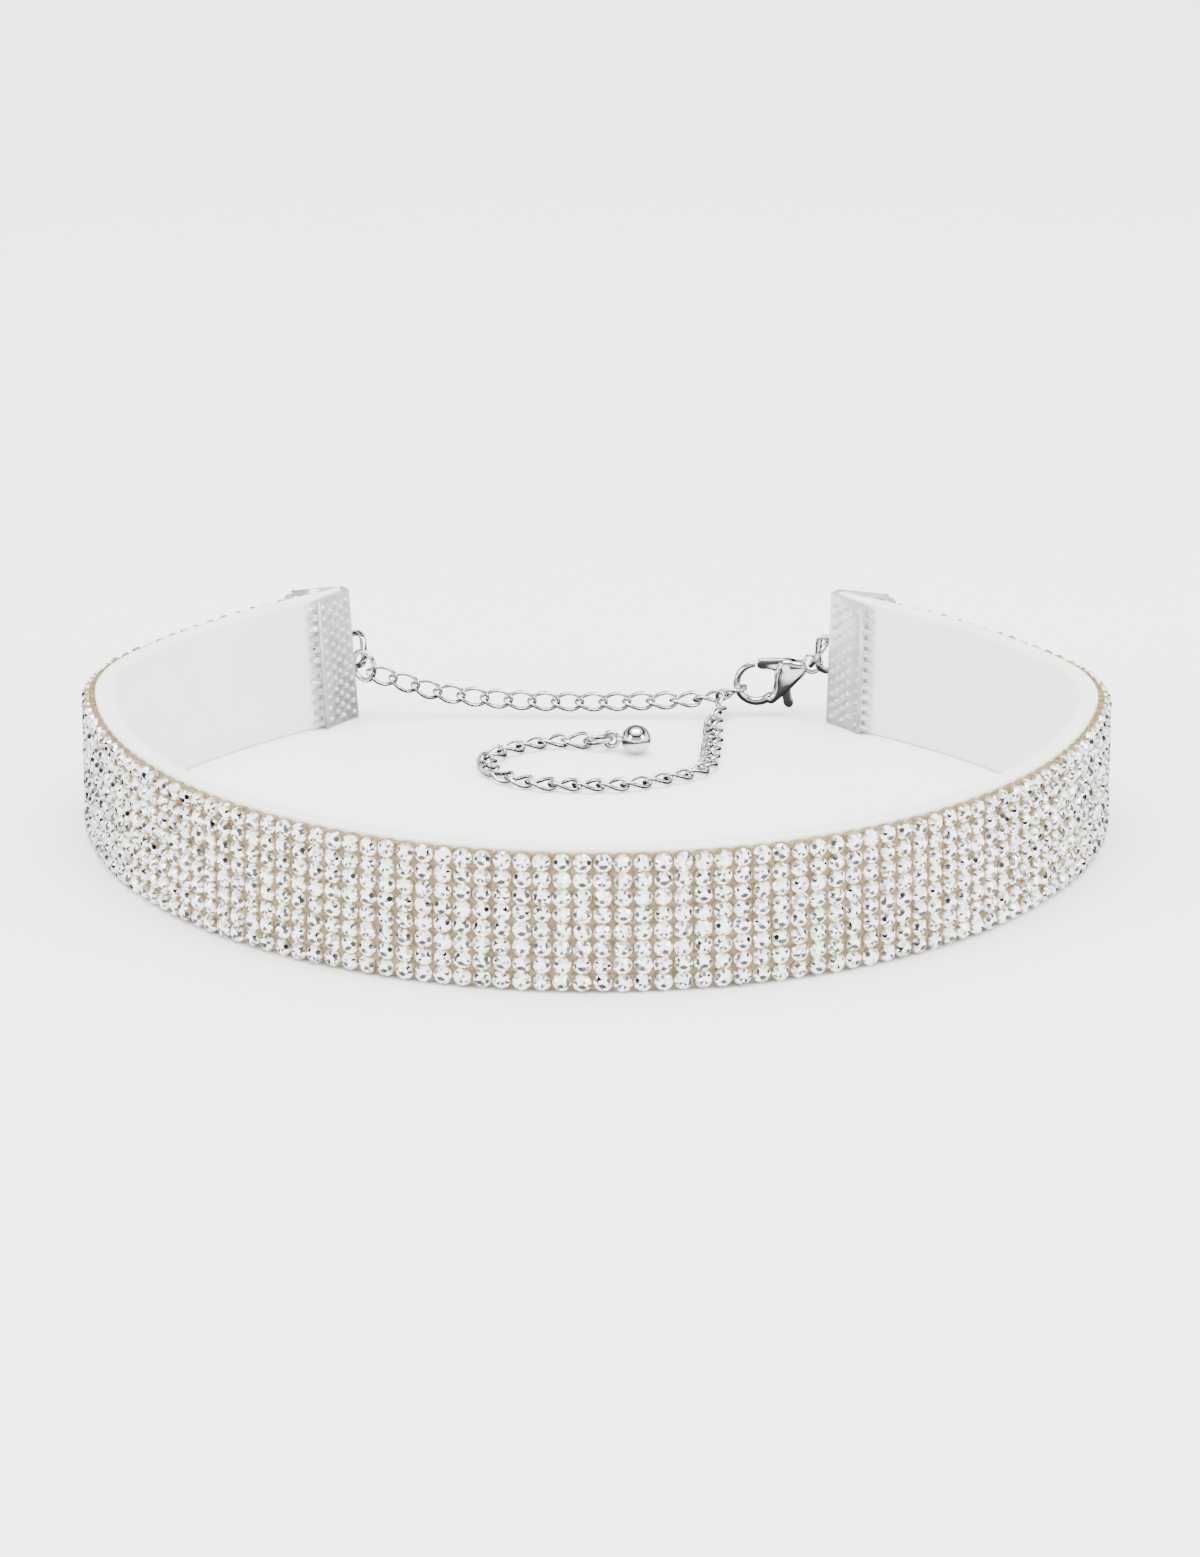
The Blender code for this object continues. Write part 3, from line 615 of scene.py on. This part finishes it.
def bumpPlaces(side, hand):    # pressed dots, and a row of slanted teeth near the leaf's edge
    foot, top = crimp["margin"], band["height"] - crimp["margin"]
    places = []
    for number, distance in enumerate((*crimp["bumpColumns"], crimp["teethAt"])):
        isTooth = distance == crimp["teethAt"]
        for k in range(int((top - foot) / crimp["bumpPitch"])):
            high = foot + (k + 0.5 + 0.5 * (number % 2)) * crimp["bumpPitch"] + crimp["bumpLift"]
            if high > top - crimp["bumpRoom"]:
                continue
            out = leafGap(distance) + crimp["sheet"]
            along = fromFold(side, distance)
            seat = stripPoint(along, pressLine + hand * out, high)
            outward = (stripPoint(along, pressLine + hand * (out + 1), high) - seat).normalized()
            across = up.cross(outward).normalized()
            place = turned(seat, across, outward.cross(across), outward)
            if isTooth:
                place = place @ Matrix.Rotation(math.radians(crimp["toothLean"]), 4, "Z")
                stretch = (crimp["toothStretch"], crimp["toothNarrow"], 1, 1)
                place = place @ Matrix.Diagonal(stretch)
            places.append(place)
    return places


def makeBump():
    clearSelection()
    bpy.ops.mesh.primitive_uv_sphere_add(segments=10, ring_count=8, radius=1.0)
    dome = bpy.context.active_object
    dome.scale = Vector((crimp["bumpRadius"], crimp["bumpRadius"], crimp["bumpRise"])) * mm
    settle(dome)
    return dome


def makeCrimp(side):
    sheet = copyOfNode(f"crimp_end_{side}")
    inEdit(sheet, lambda: bpy.ops.mesh.dissolve_limited(angle_limit=math.radians(crimp["flatAngle"])))
    rounding = sheet.modifiers.new("rounding", "BEVEL")
    rounding.width, rounding.segments = crimp["edgeRound"] * mm, 2
    rounding.limit_method, rounding.angle_limit = "ANGLE", math.radians(crimp["edgeAngle"])
    applyAll(sheet)
    dome = makeBump()
    parts = [sheet]
    for hand in (-1, 1):
        for place in bumpPlaces(side, hand):
            copy = addObject("bump", dome.data.copy())
            copy.matrix_world = place
            parts.append(copy)
    bpy.data.objects.remove(dome, do_unlink=True)
    joinInto(sheet, parts)
    smoothBy(sheet, crimp["smoothAngle"])
    name = "pressedCrimp" + side.capitalize()
    finishPiece(sheet, name, pressedSilver, "necklace", f"crimp_end_{side}")
    sheet.data.materials.append(brightSilver)    # the tab is polished
    middle = band["height"] / 2
    fold = stripPoint(fromFold(side, 0), pressLine, middle)
    inwards = stripPoint(fromFold(side, 1), pressLine, middle) - fold     # about a millimetre long
    for face in sheet.data.polygons:
        if (face.center - fold).dot(inwards) < -crimp["tabFrom"] * mm * mm:
            face.material_index = 1


for side in ("left", "right"):
    makeCrimp(side)
print("crimp ends made")


wire = {
    "ringRadius": 1.62,
    "ringWire": 0.28,
    "linkHalfLength": 1.65,
    "linkHalfWidth": 0.93,
    "linkWire": 0.205,
    "linkTwist": 45.0,
    "alongLink": 36,
    "aroundLink": 10,
    "blankWire": 0.2,      # of the round torus that a link is drawn out from
    "tailHalfLength": 1.5,
    "tailHalfWidth": 1.05,
    "tailWire": 0.26,
}


def makeRing(node, name):
    middle, first, second, third = mainAxes(nodePoints(node))
    clearSelection()
    bpy.ops.mesh.primitive_torus_add(major_segments=64, minor_segments=16,
                                     major_radius=wire["ringRadius"] * mm,
                                     minor_radius=wire["ringWire"] * mm)
    ring = bpy.context.active_object
    ring.matrix_world = turned(middle, first, second, third)
    bpy.ops.object.shade_smooth()
    finishPiece(ring, name, brightSilver, "necklace", node)


def bentTorus(node, name, halfLong, halfWide, thickness, twist):    # a torus drawn out to a twisted oval
    middle, first, second, third = mainAxes(nodePoints(node))
    clearSelection()
    bpy.ops.mesh.primitive_torus_add(major_segments=wire["alongLink"], minor_segments=wire["aroundLink"],
                                     major_radius=1.0, minor_radius=wire["blankWire"])
    link = bpy.context.active_object
    for vertex in link.data.vertices:
        turn = math.atan2(vertex.co.y, vertex.co.x)
        reach = math.hypot(vertex.co.x, vertex.co.y) - 1.0
        centre, ahead = ovalPoint(turn, halfLong, halfWide, twist)
        outward = (centre - centre.dot(ahead) * ahead).normalized()
        side = ahead.cross(outward)
        offset = thickness / wire["blankWire"] * (reach * outward + vertex.co.z * side)
        vertex.co = (centre + offset) * mm
    link.matrix_world = turned(middle, first, second, third)
    inEdit(link, outwards)
    bpy.ops.object.shade_smooth()
    finishPiece(link, name, brightSilver, "necklace", node)


def ovalPoint(turn, halfLong, halfWide, twist):    # a point on the twisted oval, and the way ahead there
    def at(t):
        lean = math.radians(twist) * math.cos(t)
        wide = halfWide * math.sin(t)
        return Vector((halfLong * math.cos(t), wide * math.cos(lean), wide * math.sin(lean)))
    return at(turn), (at(turn + 0.01) - at(turn - 0.01)).normalized()


for side in ("left", "right"):
    makeRing(f"jump_ring_{side}", "ring" + side.capitalize())
linkNodes = sorted(node for node in frame["nodes"] if node.startswith("link_"))
for node in linkNodes:
    bentTorus(node, "chain" + node[-2:], wire["linkHalfLength"], wire["linkHalfWidth"], wire["linkWire"],
              wire["linkTwist"])
bentTorus("tail_ring", "tailRing", wire["tailHalfLength"], wire["tailHalfWidth"], wire["tailWire"], 0.0)
print("chain made:", len(linkNodes), "links")


ball = {
    "radius": 1.6,
    "eyeRadius": 0.8,
    "eyeWire": 0.26,
    "eyeReach": 2.9,       # from the ball's middle to the eye's
    "neckRadius": 0.36,
    "neckFrom": 0.8,       # share of the ball's radius where the neck starts
    "smoothAngle": 50,
}


def makeBall():
    points = nodePoints("end_ball")
    top = Vector(points[points[:, 2].argmax()])
    centre = top - ball["radius"] * mm * up
    far = Vector(points[np.linalg.norm(points - np.array(centre), axis=1).argmax()])
    back = (far - centre).normalized()
    eyeCentre = centre + ball["eyeReach"] * mm * back
    clearSelection()
    bpy.ops.mesh.primitive_uv_sphere_add(segments=48, ring_count=32, radius=ball["radius"] * mm,
                                         location=centre)
    sphere = bpy.context.active_object
    bpy.ops.mesh.primitive_torus_add(major_segments=48, minor_segments=14,
                                     major_radius=ball["eyeRadius"] * mm,
                                     minor_radius=ball["eyeWire"] * mm)
    eye = bpy.context.active_object
    across = up.cross(back).normalized()
    eye.matrix_world = turned(eyeCentre, back, back.cross(across), across * -1)
    neckStart = centre + ball["neckFrom"] * ball["radius"] * mm * back
    neckEnd = eyeCentre - ball["eyeRadius"] * mm * back
    bpy.ops.mesh.primitive_cylinder_add(vertices=20, radius=ball["neckRadius"] * mm,
                                        depth=(neckEnd - neckStart).length,
                                        location=(neckStart + neckEnd) / 2)
    neck = bpy.context.active_object
    neck.rotation_mode = "QUATERNION"
    neck.rotation_quaternion = back.to_track_quat("Z", "Y")
    joinInto(sphere, (eye, neck))
    smoothBy(sphere, ball["smoothAngle"])
    finishPiece(sphere, "endBall", brightSilver, "necklace", "end_ball")


makeBall()
print("end ball made")


# The clasp is drawn flat, u along X and v along Z, from the middle of the hook's hole
clasp = {
    "pivot": (3.2, 1.9),
    "hookRadius": 2.15,
    "tipWire": 0.32,
    "rootWire": 0.5,
    "hookStart": 94.0,
    "hookEnd": 318.0,
    "thickness": 1.7,
    "edgeRound": 0.5,
    "leverThickness": 0.6,
    "leverRound": 0.13,
    "leverClearance": 0.12,
    "slotRound": 0.001,
    "eye": (6.1, 2.2),
    "eyeRadius": 0.97,
    "eyeWire": 0.235,
    "rivetRadius": 0.42,
    "rivetRise": 0.04,
    "smoothAngle": 50,
    "shoulder": ((1.0, -1.75), (1.7, -1.0), (1.95, -0.1), (1.95, 0.8), (2.1, 1.6), (2.5, 2.45),
                 (3.2, 2.78), (4.2, 2.6), (5.0, 2.45), (5.5, 2.0), (5.45, 1.4), (4.4, 0.1),
                 (3.4, -0.95), (2.5, -1.75), (1.5, -2.3)),
    "slot": ((1.4, 3.3), (1.4, 0.75), (2.28, 0.72), (2.36, 0.0), (2.56, -1.5), (2.5, -3.0),
             (6.2, -3.0), (4.95, 0.25), (4.72, 0.85), (4.3, 1.6), (4.28, 3.3)),
    "lever": ((0.12, 2.55), (0.12, 1.85), (1.6, 1.55), (2.42, 1.0), (2.52, 0.0), (2.8, -1.35),
              (3.4, -2.8), (4.0, -2.55), (3.8, -1.3), (3.85, 0.5), (3.95, 2.2), (3.5, 2.6),
              (2.6, 2.8), (1.3, 2.76)),
}
pivotPlace = Vector(frame["joints"][0]["pos_m"])
claspPlace = pivotPlace - Vector((clasp["pivot"][0], 0, clasp["pivot"][1])) * mm


def plate(outline, thickness, rounding, smooth):    # a plate cut to an outline, its edges rounded
    curve = bpy.data.curves.new("outline", "CURVE")
    curve.dimensions, curve.fill_mode = "2D", "BOTH"
    curve.resolution_u = 6
    curve.extrude = (thickness / 2 - rounding) * mm
    curve.bevel_depth, curve.bevel_resolution = rounding * mm, 3
    curve.offset = -rounding * mm
    spline = curve.splines.new("BEZIER" if smooth else "POLY")
    points = spline.bezier_points if smooth else spline.points
    points.add(len(outline) - 1)
    for point, (u, v) in zip(points, outline):
        point.co = (u * mm, v * mm, 0) if smooth else (u * mm, v * mm, 0, 1)
        if smooth:
            point.handle_left_type = point.handle_right_type = "AUTO"
    spline.use_cyclic_u = True
    item = addObject("plate", curve)
    activate(item)
    bpy.ops.object.convert(target="MESH")
    item = bpy.context.active_object
    item.rotation_euler = (math.radians(90), 0, 0)
    item.location = claspPlace
    settle(item)
    inEdit(item, lambda: bpy.ops.mesh.remove_doubles(threshold=nodeMerge), outwards)
    return item


def cutWith(item, tool):
    step = item.modifiers.new("cut", "BOOLEAN")
    step.operation, step.object, step.solver = "DIFFERENCE", tool, "EXACT"
    applyAll(item)
    bpy.data.objects.remove(tool, do_unlink=True)


def makeHook():
    start, end = math.radians(clasp["hookStart"]), math.radians(clasp["hookEnd"])
    place = claspPlace + Vector((math.cos(start), 0, math.sin(start))) * clasp["hookRadius"] * mm
    clearSelection()
    bpy.ops.mesh.primitive_circle_add(vertices=18, radius=clasp["tipWire"] * mm, fill_type="NGON",
                                      location=place, rotation=(0, -start, 0))
    hook = bpy.context.active_object
    settle(hook)
    inEdit(hook, lambda: bpy.ops.mesh.spin(steps=48, angle=end - start, center=claspPlace, axis=(0, 1, 0)),
           outwards)
    for vertex in hook.data.vertices:
        offset = vertex.co - claspPlace
        turn = math.atan2(offset.z, offset.x) % (2 * math.pi)
        share = min(1.0, max(0.0, (turn - start) / (end - start)))
        middle = Vector((math.cos(turn), 0, math.sin(turn))) * clasp["hookRadius"] * mm
        grow = 1 + (clasp["rootWire"] / clasp["tipWire"] - 1) * share
        vertex.co = claspPlace + middle + (offset - middle) * grow
    return hook


def makeClasp():
    body = plate(clasp["shoulder"], clasp["thickness"], clasp["edgeRound"], True)
    slotThickness = clasp["leverThickness"] + 2 * clasp["leverClearance"]
    cutWith(body, plate(clasp["slot"], slotThickness, clasp["slotRound"], False))
    hook = makeHook()
    clearSelection()
    eyePlace = claspPlace + Vector((clasp["eye"][0], 0, clasp["eye"][1])) * mm
    bpy.ops.mesh.primitive_torus_add(major_segments=48, minor_segments=16,
                                     major_radius=clasp["eyeRadius"] * mm,
                                     minor_radius=clasp["eyeWire"] * mm, location=eyePlace,
                                     rotation=(math.radians(90), 0, 0))
    eye = bpy.context.active_object
    bpy.ops.mesh.primitive_cylinder_add(vertices=24, radius=clasp["rivetRadius"] * mm,
                                        depth=(clasp["thickness"] + 2 * clasp["rivetRise"]) * mm,
                                        location=pivotPlace, rotation=(math.radians(90), 0, 0))
    rivet = bpy.context.active_object
    joinInto(body, (hook, eye, rivet))
    smoothBy(body, clasp["smoothAngle"])
    finishPiece(body, "claspBody", brightSilver, "necklace", "clasp_body")
    lever = plate(clasp["lever"], clasp["leverThickness"], clasp["leverRound"], True)
    smoothBy(lever, clasp["smoothAngle"])
    finishPiece(lever, "claspLever", brightSilver, "lever", "clasp_lever")


makeClasp()
print("clasp made")


studio = {
    "floorColour": (0.95, 0.95, 0.945),
    "floorSize": 3.0,
    "floorDrop": 0.00002,
    "floorSockets": {"Roughness": 0.6, "Specular IOR Level": 0.1},
    # Painted reflections: what only mirrored light meets is a dark floor with round white cards painted on
    # it, middle and radius of each
    "paintedDarkFloor": 0.012,
    "paintedCardWhite": 0.75,
    "cardEdge": 0.001,
    "frontPaintedCard": (0.0, -0.3, 0.29),
    "backPaintedCard": (0.0, 0.345, 0.29),
    "ballPaintedCard": (0.0022, -0.0018, 0.0046),      # from the ball's middle
    "claspPaintedCard": (0.0050, -0.016, 0.0072),      # from the clasp's rivet
    "world": 2.8,
    "cards": 1.9,
    # Height of the direction and how bright the mirrored studio is there
    "cardStops": ((0.0, 0.01), (0.16, 0.01), (0.24, 0.45), (0.5, 0.45), (0.56, 0.02), (0.7, 0.02),
                  (0.82, 1.0)),
    # Size, power and place of each light. All of them face the middle.
    "lights": {
        "softboxTop": ((0.5, 0.4), 7.0, (0.0, 0.0, 0.6)),
        "softboxLeft": ((0.3, 0.4), 3.5, (-0.6, -0.4, 0.35)),
        "softboxRight": ((0.3, 0.4), 3.5, (0.6, -0.3, 0.3)),
    },
    "azimuth": 0.0,
    "elevation": 19.5,
    "distance": 0.86,
    "target": (0.000419, 0.02117, 0.0),
    "lens": 184.93,
    "sensorHeight": 36.0,
}


def paintedReflectionCards(tree):    # painted reflections: how bright the floor is to mirrored rays, the brightest of its painted cards at each point
    place, brightest = addNode(tree, "ShaderNodeTexCoord"), None
    lowest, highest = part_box("end_ball")
    starts = {
        "frontPaintedCard": Vector(),
        "backPaintedCard": Vector(),
        "ballPaintedCard": (lowest + highest) / 2,
        "claspPaintedCard": pivotPlace,
    }
    for card, start in starts.items():
        x, y, radius = studio[card]
        reach = addNode(tree, "ShaderNodeVectorMath", operation="DISTANCE")
        reach.inputs[1].default_value = (start.x + x, start.y + y, 0)
        tree.links.new(place.outputs["Object"], reach.inputs[0])
        level = addNode(tree, "ShaderNodeMapRange")
        level.inputs["From Min"].default_value = radius - studio["cardEdge"]
        level.inputs["From Max"].default_value = radius + studio["cardEdge"]
        level.inputs["To Min"].default_value = studio["paintedCardWhite"]
        level.inputs["To Max"].default_value = studio["paintedDarkFloor"]
        tree.links.new(reach.outputs["Value"], level.inputs["Value"])
        shown = level.outputs["Result"]
        if brightest:
            both = addNode(tree, "ShaderNodeMath", operation="MAXIMUM")
            tree.links.new(brightest, both.inputs[0])
            tree.links.new(shown, both.inputs[1])
            shown = both.outputs["Value"]
        brightest = shown
    return brightest


def makeFloor():
    clearSelection()
    bpy.ops.mesh.primitive_plane_add(size=studio["floorSize"], location=(0, 0, -studio["floorDrop"]))
    floor = bpy.context.active_object
    made, tree, shader = newMaterial("paleFloor", studio["floorSockets"])
    # painted reflections: mirrored rays see the dark floor and its painted white cards, while other rays
    # see the pale floor
    path = addNode(tree, "ShaderNodeLightPath")
    mix = addNode(tree, "ShaderNodeMix", data_type="RGBA")
    mix.inputs["A"].default_value = (*studio["floorColour"], 1)
    tree.links.new(paintedReflectionCards(tree), mix.inputs["B"])
    tree.links.new(path.outputs["Is Glossy Ray"], mix.inputs["Factor"])
    tree.links.new(mix.outputs["Result"], shader.inputs["Base Color"])
    floor.name = "floor"
    floor.data.materials.append(made)


def addLight(name, size, power, place):
    light = bpy.data.lights.new(name, "AREA")
    light.shape, light.size, light.size_y = "RECTANGLE", size[0], size[1]
    light.energy = power
    item = addObject(name, light)
    item.location = place
    item.rotation_euler = (Vector() - Vector(place)).to_track_quat("-Z", "Y").to_euler()


def makeWorld():    # even white light, with dark cards that only mirrored light meets
    world = bpy.data.worlds.new("studioWorld")
    world.use_nodes = True
    tree = world.node_tree
    plain = tree.nodes["Background"]
    plain.inputs["Strength"].default_value = studio["world"]
    plain.inputs["Color"].default_value = (1, 1, 1, 1)
    cards = addNode(tree, "ShaderNodeBackground")
    cards.inputs["Strength"].default_value = studio["cards"]
    place = addNode(tree, "ShaderNodeTexCoord")
    parts = addNode(tree, "ShaderNodeSeparateXYZ")
    ramp = addNode(tree, "ShaderNodeValToRGB")
    ramp.color_ramp.interpolation = "EASE"
    while len(ramp.color_ramp.elements) < len(studio["cardStops"]):
        ramp.color_ramp.elements.new(0.5)
    for stop, (high, level) in zip(ramp.color_ramp.elements, studio["cardStops"]):
        stop.position, stop.color = high, (level, level, level, 1)
    tree.links.new(place.outputs["Generated"], parts.inputs["Vector"])
    tree.links.new(parts.outputs["Z"], ramp.inputs["Fac"])
    tree.links.new(ramp.outputs["Color"], cards.inputs["Color"])
    path, mix = addNode(tree, "ShaderNodeLightPath"), addNode(tree, "ShaderNodeMixShader")
    tree.links.new(path.outputs["Is Glossy Ray"], mix.inputs["Fac"])
    tree.links.new(plain.outputs["Background"], mix.inputs[1])
    tree.links.new(cards.outputs["Background"], mix.inputs[2])
    tree.links.new(mix.outputs["Shader"], tree.nodes["World Output"].inputs["Surface"])
    bpy.context.scene.world = world


def makeCamera():
    azimuth, elevation = math.radians(studio["azimuth"]), math.radians(studio["elevation"])
    level = math.cos(elevation)
    away = Vector((math.sin(azimuth) * level, -math.cos(azimuth) * level, math.sin(elevation)))
    camera = addObject("camera", bpy.data.cameras.new("camera"))
    camera.location = Vector(studio["target"]) + studio["distance"] * away
    camera.rotation_euler = (-away).to_track_quat("-Z", "Y").to_euler()
    camera.data.sensor_fit, camera.data.sensor_height = "VERTICAL", studio["sensorHeight"]
    camera.data.lens = studio["lens"]
    camera.data.clip_start, camera.data.clip_end = 0.01, 10.0
    bpy.context.scene.camera = camera


makeFloor()
for name, (size, power, place) in studio["lights"].items():
    addLight(name, size, power, place)
makeWorld()
makeCamera()
print("studio made")
